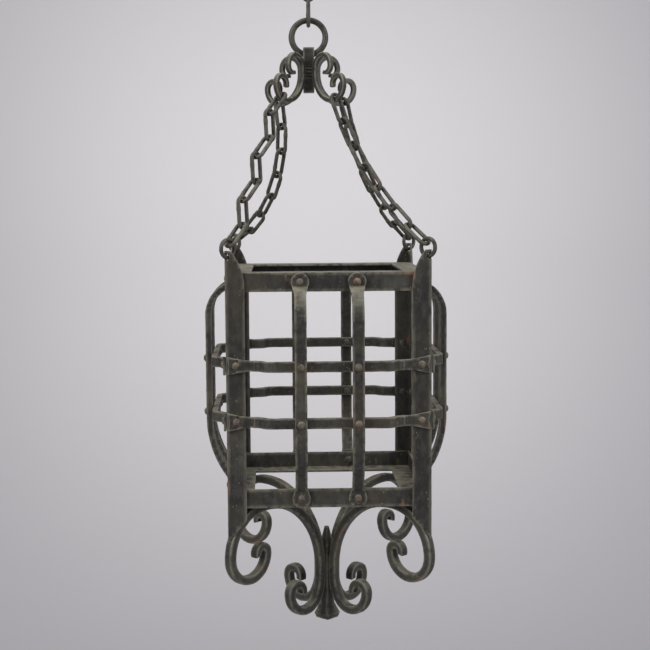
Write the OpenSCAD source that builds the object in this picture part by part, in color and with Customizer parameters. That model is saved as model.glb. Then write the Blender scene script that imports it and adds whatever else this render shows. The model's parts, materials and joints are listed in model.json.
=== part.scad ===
// Hanging lantern of wrought iron: a square cage of angle iron and woven bars, carried by four
// chains from a scrolled crown, with four C-scrolls and a pointed finial below.
// Millimetres, +Z up. The origin is the hanging point, inside the top of the upper link.

/* [Cage frame] */
// Width of the square cage over the outside of its corner posts
cage_w = 264; // [250:1:276]
// Height of the cage from the top edge of its upper frame to the underside of its lower frame
cage_h = 305; // [295:1:330]
// Width of each leg of the frame's angle iron, along the cage's sides
rail_leg = 25; // [22:0.5:26]
// Width of each flange that the frame turns into the cage
rail_flange = 30; // [24:0.5:36]
// Thickness of all the angle iron
iron_t = 3.2; // [2.6:0.1:3.6]
// Width of each leg of the corner posts
post_leg = 25; // [23:0.5:27]
// Height of the corner posts above the upper frame
post_rise = 28; // [26:0.5:30]
// Drop of the corner posts below the lower frame, at the corner itself
post_drop = 44; // [42:0.5:45]
// Height of the slanting cut across the foot of each corner post
post_foot_cut = 29; // [22:0.5:32]
// Radius of the curve that narrows the top of each corner post
post_top_r = 75; // [70:1:90]

/* [Woven bars] */
// Width of the upright bars
bar_w = 16; // [13:0.5:18]
// Depth of the upright bars, from outer face to inner face
bar_d = 9; // [7:0.5:10]
// Distance from the middle of a side to each upright bar
bar_offset = 36.5; // [30:0.5:44]
// Depth from the cage's outer face to the outer face of an upright bar where it bows out
bar_bow = 30.4; // [28:0.2:32]
// Radius of the upper bend of the upright bars
bar_top_r = 42; // [36:1:46]
// Radius of the lower bend of the upright bars
bar_low_r = 134; // [128:1:138]
// Height from the upper frame's edge down to the start of an upright bar's straight part
bar_straight_top = 61; // [59:1:64]
// Width of the flattened leaf at each end of an upright bar
leaf_w = 24.5; // [20:0.5:26]
// Thickness of the flattened ends of the upright bars
leaf_t = 5; // [4:0.2:6]
// Height of the cross straps
strap_h = 14; // [12:0.5:16]
// Thickness of the cross straps
strap_t = 8; // [6:0.5:9]
// Height from the upper frame's edge down to the middle of the upper strap
strap_upper = 119; // [105:1:130]
// Distance between the middles of the upper and lower straps
strap_pitch = 72.5; // [60:0.5:80]
// Thickness of the flattened strap ends
strap_end_t = 4; // [3:0.2:5]
// Height of the flared strap ends
strap_end_h = 25; // [20:0.5:28]
// Half length of a strap's straight part
strap_half = 72; // [66:0.5:76]
// Length of the flare at each strap end, measured from the cage's corner
strap_flare = 36; // [32:0.5:38]

/* [Rivets] */
// Diameter of the rivet shanks
rivet_d = 5; // [4:0.1:6]
// Diameter of the domed rivet heads
rivet_head_d = 10; // [9:0.5:11]
// Height of the domed rivet heads
rivet_head_h = 2.8; // [2:0.1:3.4]

/* [Suspension] */
// Length of a chain link over its ends
link_l = 45.5; // [44:0.5:46.5]
// Width of a chain link
link_w = 20; // [19.5:0.5:22]
// Diameter of the links' wire
link_d = 5.5; // [5:0.1:5.6]
// Number of links in each chain, an odd number
link_count = 7; // [7:2:7]
// Outside diameter of the hanging ring
ring_od = 54; // [50:1:60]
// Diameter of the hanging ring's wire
ring_d = 8.4; // [7.6:0.1:8.4]
// Outside diameter of the small rings at the corner posts
corner_ring_od = 28; // [27:0.5:30]
// Distance from the cage's middle to the crown's axis, because the lantern hangs to one side
crown_shift = 20; // [0:1:30]
// Height of the cage over the point where its tightest chain would pull straight
slack_lift = 5; // [4:0.5:8]

/* [Crown] */
// Width of the crown's square post
crown_w = 15; // [13:0.5:16]
// Length of the crown's post
crown_l = 60.6; // [56:0.2:70]
// Width of the square bar of the crown's scrolls
crown_bar = 6.8; // [6:0.2:7]
// Angle of the front scrolls, turned forward from the side
front_arm = 53; // [45:1:58]
// Angle of the left back scroll, turned backward from the side
back_left_arm = 40; // [32:1:45]
// Angle of the right back scroll, turned backward from the side
back_right_arm = 31; // [28:1:40]
// Radius of the long bend under the crown
crown_sweep_r = 38; // [36:0.5:42]
// Radius of the hook that carries a chain
crown_hook_r = 21; // [20:0.5:23]

/* [Foot scrolls] */
// Width of the square bar of the foot scrolls
foot_bar = 12; // [10:0.5:12]
// Radius of the long bend of each foot scroll
foot_sweep_r = 103; // [100:0.5:105]
// Radius of the outer curl of each foot scroll
foot_curl_r = 32; // [30:0.5:34]
// Radius of the inner curl of each foot scroll
foot_inner_r = 28; // [26:0.5:29]
// Width of the finial's square stem
finial_w = 15; // [14:0.5:17]
// Width of the finial's flared foot
finial_foot_w = 26; // [22:0.5:34]

/* [Hidden] */
$fn = 64;

// clearance between neighbours that move, between links that twist, between bars that only seat,
// and between flat faces
gap = 0.3;
twist_gap = 0.55;
seat = 0.1;
skim = 0.02;

// chain links
link_r = (link_w - link_d) / 2;
link_bore = link_w / 2 - link_d;
link_inner = link_l - 2 * link_d;
long_pivot = link_l - link_d;
short_pivot = link_inner - link_d - 2 * gap;
long_links = (link_count + 1) / 2;
short_links = (link_count - 1) / 2;
chain_l = long_links * long_pivot + short_links * short_pivot;

// hanging links and ring, from the hanging point downward
upper_link_z = link_d - link_l / 2;
lower_link_z = upper_link_z - link_l + 2 * link_d + twist_gap;
ring_rc = (ring_od - ring_d) / 2;
ring_z = lower_link_z - link_inner / 2 + gap + ring_d / 2 - ring_rc;
ring_low_z = ring_z - ring_rc;

// crown
crown_eye_r = ring_d / 2 + 1.7;
crown_eye_z = ring_z + gap - crown_eye_r - sqrt(
  pow(ring_rc - ring_d / 2, 2) - pow(crown_w / 2, 2)
);
crown_top = crown_eye_z + crown_eye_r + 3.4;
crown_hug = crown_bar / 2 + seat + crown_w / 2 * max([
  for (turn = [front_arm, back_left_arm, back_right_arm]) cos(turn) + sin(turn)
]);
crown_hug_z = crown_top - 35.4;
crown_low_z = crown_hug_z - crown_sweep_r;
crown_curl_r = 11;
crown_head_r = 17.5;
crown_nose_r = 15;
crown_tip_r = 9;
crown_chamfer = 1.5;
groove_h = 2;
groove_t = 0.8;

// centre of the hook's bend, and height of a link's end wire over the middle of the hook's bar
hook_rho = crown_hug + crown_sweep_r;
hook_z = crown_low_z + crown_hook_r;
hook_rise = crown_bar / 2 + link_d / 2 + 0.8;

// corner rings, in the diagonal plane of each post: distance from the cage's axis, and height
half_w = cage_w / 2;
corner_r = half_w * sqrt(2);
corner_ring_rc = (corner_ring_od - link_d) / 2;
ring_lean = 20;
ring_hole_r = corner_r - iron_t * sqrt(2) / 2;
ring_hole_z = post_rise - 8;
ring_mid_r = ring_hole_r - corner_ring_rc * sin(ring_lean);
ring_mid_z = ring_hole_z + corner_ring_rc * cos(ring_lean);
chain_end_rise = corner_ring_rc - link_d - 3 * gap;
ring_hole_bore = link_d / 2 + 1.3;

// the four arms of the crown, the four corners that they carry, how far each chain's last link
// drops into its corner ring, and how much steeper than a straight chain a sagging one leaves
// its hook: the chain without that angle lies folded at its links
ARMS = [
  [180 + front_arm, 225, 1.5, 0],
  [-front_arm, -45, 0.2, 19],
  [180 - back_left_arm, 135, 2.5, 22],
  [back_right_arm, 45, 1, 19]
];

function round_axis(rho, turn, z) = [rho * cos(turn), rho * sin(turn), z];
function unit(v) = v / norm(v);
function square_to(v, d) = unit(v - (v * d) * d);

function level(v) = [v.x, v.y, 0];
function chain_end(arm, z) = round_axis(
  ring_mid_r - (chain_end_rise - arm[2]) * sin(ring_lean), arm[1],
  z + ring_mid_z + (chain_end_rise - arm[2]) * cos(ring_lean)
) + [crown_shift, 0, 0];

// a link slides along its hook until the bar stands square to the chain's pull
pull_l = chain_l + crown_hook_r - hook_rise;
pull_reach = max([
  for (arm = ARMS) norm(level(chain_end(arm, 0) - round_axis(hook_rho, arm[0], 0)))
]);
pull_drop = sqrt(pull_l * pull_l - pull_reach * pull_reach);
function hook_turn(arm) =
  let (away = level(chain_end(arm, 0)) - round_axis(hook_rho, arm[0], 0))
  atan((away.x * cos(arm[0]) + away.y * sin(arm[0])) / pull_drop) - arm[3];
function hook_bar(arm) = round_axis(
  hook_rho + crown_hook_r * sin(hook_turn(arm)), arm[0],
  hook_z - crown_hook_r * cos(hook_turn(arm))
);

// the cage stands a little higher than its tightest chain would carry it, so all four have slack
taut_l = chain_l - hook_rise;
cage_z = slack_lift + max([
  for (arm = ARMS)
    hook_bar(arm).z
    - sqrt(taut_l * taut_l - pow(norm(level(chain_end(arm, 0) - hook_bar(arm))), 2))
    - chain_end(arm, 0).z
]);

// direction in which a chain's links face, midway between its hook's bar and its ring's wire,
// and the middle of the wire that lies in the hook
function chain_line(arm) = unit(chain_end(arm, cage_z) - hook_bar(arm));
function chain_facing(arm) = square_to(
  round_axis(cos(hook_turn(arm)), arm[0], sin(hook_turn(arm)))
  + round_axis(cos(ring_lean), arm[1], sin(ring_lean)),
  chain_line(arm)
);
function chain_start(arm) = hook_bar(arm)
  - hook_rise * (cos(arm[3]) * chain_line(arm) - sin(arm[3]) * chain_facing(arm));

// where a chain's links lead when each turns by its own angle, along the chain and facing it
function link_pivot(k) = k % 2 == 0 ? long_pivot : short_pivot;
function links_end(turns, k) = k == 0 ? [0, 0]
  : links_end(turns, k - 1) + link_pivot(k - 1) * [cos(turns[k - 1]), sin(turns[k - 1])];

// a sagging chain turns each link by one bend more than the last, found by halving
function bent(bend) = [for (k = [0:link_count - 1]) k * bend];
function sag(span, lo = 0, hi = 18, step = 0) =
  step == 24 ? (lo + hi) / 2
  : norm(links_end(bent((lo + hi) / 2), link_count)) > span ? sag(span, (lo + hi) / 2, hi, step + 1)
  : sag(span, lo, (lo + hi) / 2, step + 1);
function sag_turns(bend) =
  let (far = links_end(bent(bend), link_count))
  [for (turn = bent(bend)) turn - atan2(far.y, far.x)];

// angle by which the long links of a folded chain turn, found by halving
fold_ratio = long_links * long_pivot / (short_links * short_pivot);
function folded(turn) = long_links * long_pivot * cos(turn)
  + short_links * short_pivot * sqrt(1 - pow(fold_ratio * sin(turn), 2));
function fold(span, lo = 0, hi = 30, step = 0) =
  step == 24 ? (lo + hi) / 2
  : folded((lo + hi) / 2) > span ? fold(span, (lo + hi) / 2, hi, step + 1)
  : fold(span, lo, (lo + hi) / 2, step + 1);
function fold_turns(turn) = [
  for (k = [0:link_count - 1]) k % 2 == 0 ? turn : -asin(fold_ratio * sin(turn))
];

// cage
rail_out = half_w - iron_t - skim;
frame_z = -cage_h;
post_foot_z = frame_z - post_drop;
post_taper_z = post_rise - sqrt(
  post_top_r * post_top_r - pow(post_top_r - post_leg + 8, 2)
);
bar_mid_y = half_w + bar_bow - bar_d / 2;
bar_step = bar_mid_y - rail_out - leaf_t;
bar_top_turn = acos((bar_top_r - bar_step) / (bar_top_r + bar_d / 2));
bar_low_turn = acos((bar_low_r - bar_step) / (bar_low_r + bar_d / 2));
bar_low_end = frame_z + 24;
bar_straight_low = bar_low_end + bar_low_r * sin(bar_low_turn);
leaf_top_z = -rail_leg / 2;
leaf_low_z = frame_z + rail_leg / 2;
leaf_neck = leaf_w * 0.62;
strap_out = bar_mid_y - bar_d / 2;
strap_mid_y = strap_out - strap_t / 2;
strap_end_y = half_w + strap_t / 2;
strap_bend_l = half_w - strap_flare - strap_half;
strap_step = strap_mid_y - strap_end_y;
strap_turn = 2 * atan(strap_step / strap_bend_l);
strap_r = strap_bend_l / (2 * sin(strap_turn));
strap_root_x = strap_half + strap_bend_l;
bend_steps = 8;
strap_rivet_x = half_w - 13;
strap_tip_x = half_w - 1;

// foot scrolls: distance from the cage's axis and height, in the diagonal planes
foot_stem_r = finial_w / 2 + seat + foot_bar / 2;
foot_apex_r = foot_stem_r + foot_sweep_r;
foot_apex_z = frame_z - gap - foot_bar / 2;
foot_ease = 4.3;
// how far inside the corner the middle of the bar comes down past the post, to the nearest tenth
foot_corner_in = 3.8;
foot_drop_r = round(10 * (corner_r - foot_corner_in - foot_apex_r - foot_ease)) / 10;
foot_stem_z = foot_apex_z - foot_sweep_r;
foot_stem_l = 12;
foot_hip_r = 60;
foot_hip = 30;

// finial
finial_tip_z = frame_z - 55.5;
finial_shoulder_z = finial_tip_z - 27.5;
finial_flare_z = frame_z - 164;
finial_low_z = frame_z - 186;

WROUGHT = [0.21, 0.2, 0.19];
FORGED = [0.26, 0.25, 0.23];
RIVET = [0.36, 0.31, 0.26];

// section of a forged bar: a rectangle with its four long edges hammered flat
module bar_section(w, t, edge) {
  polygon([
    [w / 2 - edge, -t / 2], [w / 2, -t / 2 + edge], [w / 2, t / 2 - edge], [w / 2 - edge, t / 2],
    [-w / 2 + edge, t / 2], [-w / 2, t / 2 - edge], [-w / 2, -t / 2 + edge], [-w / 2 + edge, -t / 2]
  ]);
}

// a bar laid along steps of [radius, turn], or of [0, length] for a straight part. It starts at
// the origin along +X and bends in the XY plane; a turn above 0 bends to the left. Where an arc
// stops short of a quarter turn, a core just under the bar's skin joins it to the next step
module bent_bar(steps, w, t, edge, i = 0) {
  if (i < len(steps)) {
    radius = steps[i][0];
    turn = steps[i][1];
    right = turn < 0 ? 1 : 0;
    if (i > 0 && steps[i - 1][1] % 90 != 0 && steps[i - 1][0] > 0)
      rotate([90, 0, 90])
        linear_extrude(0.4, center = true)
          bar_section(w - 0.04, t - 0.04, edge);
    if (radius == 0) {
      rotate([90, 0, 90])
        linear_extrude(turn)
          bar_section(w, t, edge);
      translate([turn, 0, 0])
        bent_bar(steps, w, t, edge, i + 1);
    } else {
      mirror([0, right, 0])
        translate([0, radius, 0])
          rotate(-90)
            rotate_extrude(angle = abs(turn))
              translate([radius, 0])
                bar_section(w, t, edge);
      translate([radius * sin(abs(turn)), sign(turn) * radius * (1 - cos(turn)), 0])
        rotate(turn)
          bent_bar(steps, w, t, edge, i + 1);
    }
  }
}

// stand the XY plane of a bent bar up in the radial plane at one turn round the axis
module in_radial_plane(turn) {
  rotate(turn)
    rotate([90, 0, 0])
      children();
}

module ring(rc, d) {
  rotate_extrude()
    translate([rc, 0])
      circle(d = d);
}

// one oval link in the XY plane, long axis along X
module link() {
  straight = link_l - link_w;
  for (side = [-1, 1]) {
    translate([-straight / 2, side * link_r, 0])
      rotate([0, 90, 0])
        cylinder(d = link_d, h = straight);
    translate([side * straight / 2, 0, 0])
      rotate(side > 0 ? -90 : 90)
        rotate_extrude(angle = 180)
          translate([link_r, 0])
            circle(d = link_d);
  }
}

// a link with its middle at a point, its long axis along d and its flat side facing n
module link_along(mid, d, n) {
  side = cross(n, d);
  multmatrix([
    [d.x, side.x, n.x, mid.x],
    [d.y, side.y, n.y, mid.y],
    [d.z, side.z, n.z, mid.z],
    [0, 0, 0, 1]
  ])
    link();
}

module suspension_link_upper() {
  color(FORGED)
    translate([0, 0, upper_link_z])
      rotate([0, 90, 90])
        link();
}

module suspension_link_lower() {
  color(FORGED)
    translate([0, 0, lower_link_z])
      rotate([0, 90, 0])
        link();
}

module hanging_ring() {
  color(FORGED)
    translate([0, 0, ring_z])
      rotate([90, 0, 0])
        ring(ring_rc, ring_d);
}

module crown_post() {
  color(FORGED)
    difference() {
      translate([-crown_w / 2, -crown_w / 2, crown_top - crown_l])
        cube([crown_w, crown_w, crown_l]);
      translate([-crown_w, 0, crown_eye_z])
        rotate([0, 90, 0])
          cylinder(r = crown_eye_r, h = 2 * crown_w);
      for (i = [0:3])
        translate([0, 0, crown_top - 26 - 4.6 * i])
          difference() {
            cube([2 * crown_w, 2 * crown_w, groove_h], center = true);
            cube([crown_w - 2 * groove_t, crown_w - 2 * groove_t, 2 * groove_h], center = true);
          }
    }
}

// C-scroll of the crown: it hugs the post, hooks a chain below and rolls outward above
module crown_scroll(i) {
  color(WROUGHT)
    in_radial_plane(ARMS[i][0])
      translate([crown_hug, crown_hug_z, 0]) {
        rotate(-90)
          bent_bar(
            [[crown_sweep_r, 90], [crown_hook_r, 90], [crown_curl_r, 195]],
            crown_bar, crown_bar, crown_chamfer
          );
        rotate(90)
          bent_bar(
            [[0, 6], [crown_head_r, -90], [crown_nose_r, -90], [crown_tip_r, -110]],
            crown_bar, crown_bar, crown_chamfer
          );
      }
}

// links from a crown hook to a corner ring, each square to the last
module chain(i) {
  arm = ARMS[i];
  start = chain_start(arm);
  end = chain_end(arm, cage_z);
  along = unit(end - start);
  facing = square_to(chain_facing(arm), along);
  turns = arm[3] > 0 ? sag_turns(sag(norm(end - start))) : fold_turns(fold(norm(end - start)));
  color(FORGED)
    for (k = [0:link_count - 1]) {
      dir = cos(turns[k]) * along + sin(turns[k]) * facing;
      reach = links_end(turns, k);
      mid = start + reach.x * along + reach.y * facing + link_pivot(k) / 2 * dir;
      face = square_to(facing, dir);
      link_along(mid, dir, k % 2 == 0 ? face : cross(face, dir));
    }
}

module in_cage() {
  translate([crown_shift, 0, cage_z])
    children();
}

module corner_ring(i) {
  color(FORGED)
    in_cage()
      in_radial_plane(ARMS[i][1])
        translate([ring_mid_r, ring_mid_z, 0])
          ring(corner_ring_rc, link_d);
}

// outline of one leg of a corner post: x from the corner, y as height
module post_leg_outline() {
  polygon([
    [0, post_taper_z], [0, post_foot_z],
    [post_leg, post_foot_z + post_foot_cut], [post_leg, post_taper_z]
  ]);
  intersection() {
    translate([0, post_taper_z])
      square([post_leg, post_rise - post_taper_z]);
    translate([post_leg - post_top_r, post_taper_z])
      circle(r = post_top_r);
  }
}

module foot_path(w) {
  translate([foot_apex_r, foot_apex_z, 0])
      bent_bar(
        [[0, foot_ease], [foot_drop_r, -90], [foot_curl_r, -180], [9, -200]],
        w, w, foot_bar / 8
      );
}

module corner_post(i) {
  color(WROUGHT)
    in_cage()
      rotate(ARMS[i][1])
        difference() {
          translate([corner_r, 0, 0])
            rotate(135)
              for (flip = [0, 1])
                mirror([flip, -flip, 0])
                  translate([0, iron_t, 0])
                    rotate([90, 0, 0])
                      linear_extrude(iron_t)
                        post_leg_outline();
          translate([ring_hole_r, 0, ring_hole_z])
            rotate([0, 90 - ring_lean, 0])
              cylinder(r = ring_hole_bore, h = 20, center = true);
          rotate([90, 0, 0])
            foot_path(foot_bar + 2 * seat);
          translate([corner_r, 0, 0])
            rotate(135)
              for (flip = [0, 1])
                mirror([flip, -flip, 0])
                  for (k = [0, 1])
                    translate([half_w - strap_rivet_x, 0, -strap_upper - k * strap_pitch])
                      rivet_hole(3 * iron_t);
        }
}

// one mitred side of the angle-iron frame, flange at the top, holed for the bars' leaves
module frame_side(hole_z) {
  difference() {
    translate([-rail_out, -rail_out, 0])
      rotate([90, 0, 90])
        linear_extrude(2 * rail_out)
          polygon([
            [0, 0], [rail_flange, 0], [rail_flange, -iron_t],
            [iron_t, -iron_t], [iron_t, -rail_leg], [0, -rail_leg]
          ]);
    for (side = [-1, 1])
      translate([side * rail_out, -rail_out, 0])
        rotate(side * 45)
          translate([side > 0 ? 0 : -cage_w, -cage_w / 2, -cage_w / 2])
            cube(cage_w);
    for (side = [-1, 1])
      translate([side * bar_offset, -rail_out, hole_z])
        rivet_hole(3 * iron_t);
  }
}

module top_rail(side) {
  color(WROUGHT)
    in_cage()
      rotate(90 * side)
        frame_side(leaf_top_z);
}

module bottom_rail(side) {
  color(WROUGHT)
    in_cage()
      rotate(90 * side)
        translate([0, 0, frame_z])
          mirror([0, 0, 1])
            frame_side(frame_z - leaf_low_z);
}

module rivet_hole(grip) {
  rotate([90, 0, 0])
    cylinder(d = rivet_d + 2 * seat, h = grip, center = true);
}

// one face of an upright bar's bow seen from the side, from its top bend to its low bend;
// a skin above 0 lies toward the outside of the cage
function bow_face(skin) = concat(
  [for (k = [bend_steps:-1:0])
    let (turn = bar_top_turn * k / bend_steps)
    [bar_mid_y - bar_top_r, -bar_straight_top] + (bar_top_r + skin) * [cos(turn), sin(turn)]],
  [for (k = [0:bend_steps])
    let (turn = -bar_low_turn * k / bend_steps)
    [bar_mid_y - bar_low_r, bar_straight_low] + (bar_low_r + skin) * [cos(turn), sin(turn)]]
);

// side view of an upright bar: the bow, and the two flattened ends against the frame
module upright_side() {
  inner = bow_face(-bar_d / 2);
  polygon(concat(
    [[rail_out, leaf_top_z + leaf_w], [rail_out + leaf_t, leaf_top_z + leaf_w]],
    bow_face(bar_d / 2),
    [[rail_out + leaf_t, leaf_low_z - leaf_w], [rail_out, leaf_low_z - leaf_w]],
    reversed([for (p = inner) [max(p.x, rail_out), p.y]]),
    [[rail_out, inner[0].y]]
  ));
}

// front view of an upright bar, with its two leaves
module upright_front() {
  right = concat(
    [for (turn = [0:15:120])
      [leaf_w / 2 * sin(turn), leaf_top_z + leaf_w / 2 * cos(turn)]],
    [[bar_w / 2, leaf_top_z - leaf_neck], [bar_w / 2, leaf_low_z + leaf_neck]],
    [for (turn = [120:-15:0])
      [leaf_w / 2 * sin(turn), leaf_low_z - leaf_w / 2 * cos(turn)]]
  );
  polygon(concat(
    right,
    reversed([for (k = [1:len(right) - 2]) [-right[k].x, right[k].y]])
  ));
}

// an upright bar of one side: its leaf on the upper frame, its bow, its leaf below
module upright(side, x) {
  color(WROUGHT)
    in_cage()
      rotate(90 * side)
        translate([x, 0, 0])
          difference() {
            intersection() {
              rotate([90, 0, -90])
                linear_extrude(2 * leaf_w, center = true)
                  upright_side();
              rotate([90, 0, 0])
                linear_extrude(cage_w)
                  upright_front();
            }
            for (k = [0, 1])
              translate([0, -strap_out, -strap_upper - k * strap_pitch])
                rivet_hole(4 * bar_d);
            for (z = [leaf_top_z, leaf_low_z])
              translate([0, -rail_out, z])
                rivet_hole(4 * leaf_t);
          }
}

// one face of a strap's right half seen from above, from its straight part through the
// S-bend; a skin above 0 lies toward the outside of the cage
function strap_face(skin) = concat(
  [for (k = [0:bend_steps])
    let (turn = strap_turn * k / bend_steps)
    [strap_half, strap_mid_y - strap_r] + (strap_r + skin) * [sin(turn), cos(turn)]],
  [for (k = [bend_steps - 1:-1:0])
    let (turn = strap_turn * k / bend_steps)
    [strap_root_x, strap_end_y + strap_r] - (strap_r - skin) * [sin(turn), cos(turn)]]
);

function reversed(points) = [for (k = [len(points) - 1:-1:0]) points[k]];

// plan of a strap's right half, its end hammered thin against the corner post
module strap_plan() {
  polygon(concat(
    [[0, strap_mid_y + strap_t / 2]],
    strap_face(strap_t / 2),
    [[strap_root_x + 4, half_w + strap_end_t], [strap_tip_x, half_w + strap_end_t],
     [strap_tip_x, half_w]],
    reversed(strap_face(-strap_t / 2)),
    [[0, strap_mid_y - strap_t / 2]]
  ));
}

// front view of a strap's right half, its end spread like a fish's tail
module strap_front() {
  flare = [for (k = [0:bend_steps])
    [strap_root_x + (strap_tip_x - strap_root_x) * k / bend_steps,
     strap_h / 2 + (strap_end_h - strap_h) / 2 * (1 - cos(90 * k / bend_steps))]];
  polygon(concat(
    [[0, -strap_h / 2], [0, strap_h / 2]],
    flare,
    [[strap_tip_x - 2.5, 0]],
    reversed([for (p = flare) [p.x, -p.y]])
  ));
}

module strap(side, level) {
  z = -strap_upper - level * strap_pitch;
  color(WROUGHT)
    in_cage()
      rotate(90 * side)
        translate([0, 0, z])
          difference() {
            for (flip = [0, 1])
              mirror([flip, 0, 0])
                intersection() {
                  mirror([0, 1, 0])
                    linear_extrude(2 * strap_end_h, center = true)
                      strap_plan();
                  rotate([90, 0, 0])
                    linear_extrude(cage_w)
                      strap_front();
                }
            for (flip = [-1, 1]) {
              translate([flip * bar_offset, -strap_out, 0])
                rivet_hole(4 * strap_t);
              translate([flip * strap_rivet_x, -half_w, 0])
                rivet_hole(6 * strap_end_t);
            }
          }
}

module foot_scroll(i) {
  color(WROUGHT)
    in_cage()
      in_radial_plane(ARMS[i][1]) {
        foot_path(foot_bar);
        translate([foot_apex_r, foot_apex_z, 0])
          rotate(180)
            bent_bar(
              [[foot_sweep_r, 90], [0, foot_stem_l], [foot_hip_r, foot_hip],
               [foot_inner_r, 180 - foot_hip], [12, 195]],
              foot_bar, foot_bar, foot_bar / 8
            );
      }
}

// finial: a square stem with a pyramid head and a flared foot, turned to face the scrolls
module finial_profile() {
  tip = 2.5;
  stem = finial_w / 2;
  foot = finial_foot_w / 2;
  polygon([
    [-tip, finial_tip_z], [-stem, finial_shoulder_z], [-stem, finial_flare_z],
    [-foot, finial_low_z + 7], [-foot + 2, finial_low_z],
    [foot - 2, finial_low_z], [foot, finial_low_z + 7],
    [stem, finial_flare_z], [stem, finial_shoulder_z], [tip, finial_tip_z]
  ]);
}

module finial() {
  color(WROUGHT)
    in_cage()
      rotate(45)
        intersection() {
          rotate([90, 0, 0])
            linear_extrude(2 * finial_foot_w, center = true)
              finial_profile();
          rotate([90, 0, 90])
            linear_extrude(2 * finial_foot_w, center = true)
              finial_profile();
        }
}

// a rivet through a grip, domed at both ends; its outer head's seat is at the origin
module rivet(grip) {
  rotate([90, 0, 0]) {
    translate([0, 0, -grip])
      cylinder(d = rivet_d, h = grip);
    dome(rivet_head_d, rivet_head_h);
    translate([0, 0, -grip])
      mirror([0, 0, 1])
        dome(rivet_head_d - 1, rivet_head_h - 0.6);
  }
}

module dome(d, h) {
  r = (d * d / 4 + h * h) / (2 * h);
  intersection() {
    translate([0, 0, h - r])
      sphere(r = r);
    cylinder(d = d, h = h);
  }
}

module on_each_side(xs) {
  color(RIVET)
    in_cage()
      for (side = [0:3])
        rotate(90 * side)
          for (x = xs)
            translate([x, 0, 0])
              children();
}

module strap_end_rivets() {
  on_each_side([-strap_rivet_x, strap_rivet_x])
    for (k = [0, 1])
      translate([0, -half_w - strap_end_t, -strap_upper - k * strap_pitch])
        rivet(strap_end_t + iron_t + skim);
}

module crossing_rivets() {
  on_each_side([-bar_offset, bar_offset])
    for (k = [0, 1])
      translate([0, -half_w - bar_bow, -strap_upper - k * strap_pitch])
        rivet(bar_d + strap_t);
}

module bar_head_rivets() {
  on_each_side([-bar_offset, bar_offset])
    translate([0, -rail_out - leaf_t, leaf_top_z])
      rivet(leaf_t + iron_t);
}

module bar_foot_rivets() {
  on_each_side([-bar_offset, bar_offset])
    translate([0, -rail_out - leaf_t, leaf_low_z])
      rivet(leaf_t + iron_t);
}

suspension_link_upper();
suspension_link_lower();
hanging_ring();
crown_post();
crown_scroll(0);  // crown_scroll_front_left
crown_scroll(1);  // crown_scroll_front_right
crown_scroll(2);  // crown_scroll_back_left
crown_scroll(3);  // crown_scroll_back_right
chain(0);  // chain_front_left
chain(1);  // chain_front_right
chain(2);  // chain_back_left
chain(3);  // chain_back_right
corner_ring(0);  // corner_ring_front_left
corner_ring(1);  // corner_ring_front_right
corner_ring(2);  // corner_ring_back_left
corner_ring(3);  // corner_ring_back_right
corner_post(0);  // corner_post_front_left
corner_post(1);  // corner_post_front_right
corner_post(2);  // corner_post_back_left
corner_post(3);  // corner_post_back_right
top_rail(0);  // top_rail_front
top_rail(1);  // top_rail_right
top_rail(2);  // top_rail_back
top_rail(3);  // top_rail_left
bottom_rail(0);  // bottom_rail_front
bottom_rail(1);  // bottom_rail_right
bottom_rail(2);  // bottom_rail_back
bottom_rail(3);  // bottom_rail_left
upright(0, -bar_offset);  // bar_front_left
upright(0, bar_offset);  // bar_front_right
upright(1, -bar_offset);  // bar_right_front
upright(1, bar_offset);  // bar_right_back
upright(2, -bar_offset);  // bar_back_right
upright(2, bar_offset);  // bar_back_left
upright(3, -bar_offset);  // bar_left_back
upright(3, bar_offset);  // bar_left_front
strap(0, 0);  // strap_front_upper
strap(0, 1);  // strap_front_lower
strap(1, 0);  // strap_right_upper
strap(1, 1);  // strap_right_lower
strap(2, 0);  // strap_back_upper
strap(2, 1);  // strap_back_lower
strap(3, 0);  // strap_left_upper
strap(3, 1);  // strap_left_lower
foot_scroll(0);  // foot_scroll_front_left
foot_scroll(1);  // foot_scroll_front_right
foot_scroll(2);  // foot_scroll_back_left
foot_scroll(3);  // foot_scroll_back_right
finial();
strap_end_rivets();
crossing_rivets();
bar_head_rivets();
bar_foot_rivets();
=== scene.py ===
import json
from math import atan2, cos, pi, radians, sin, sqrt

import bmesh
import bpy
import numpy as np
from mathutils import Matrix, Vector, noise


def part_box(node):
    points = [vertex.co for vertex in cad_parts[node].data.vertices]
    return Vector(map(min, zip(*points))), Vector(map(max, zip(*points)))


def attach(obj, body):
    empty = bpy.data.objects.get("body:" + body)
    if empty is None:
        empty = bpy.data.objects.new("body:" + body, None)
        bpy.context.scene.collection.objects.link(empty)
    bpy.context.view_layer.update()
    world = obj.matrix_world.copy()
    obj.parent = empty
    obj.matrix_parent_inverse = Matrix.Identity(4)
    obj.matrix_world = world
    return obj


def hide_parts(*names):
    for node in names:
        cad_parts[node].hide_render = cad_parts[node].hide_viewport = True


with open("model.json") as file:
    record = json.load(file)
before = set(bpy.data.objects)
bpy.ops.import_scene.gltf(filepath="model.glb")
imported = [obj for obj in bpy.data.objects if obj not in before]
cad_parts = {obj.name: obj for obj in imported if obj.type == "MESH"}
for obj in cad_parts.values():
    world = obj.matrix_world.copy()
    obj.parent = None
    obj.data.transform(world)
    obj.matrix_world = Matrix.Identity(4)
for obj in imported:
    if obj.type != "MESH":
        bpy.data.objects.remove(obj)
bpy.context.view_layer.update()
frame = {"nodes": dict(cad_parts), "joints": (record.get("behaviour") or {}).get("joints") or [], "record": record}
nodes = frame["nodes"]
joints = {j["name"]: j for j in frame["joints"]}
body_of = {n: b for b, group in frame["record"]["behaviour"]["bodies"].items() for n in group}

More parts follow.
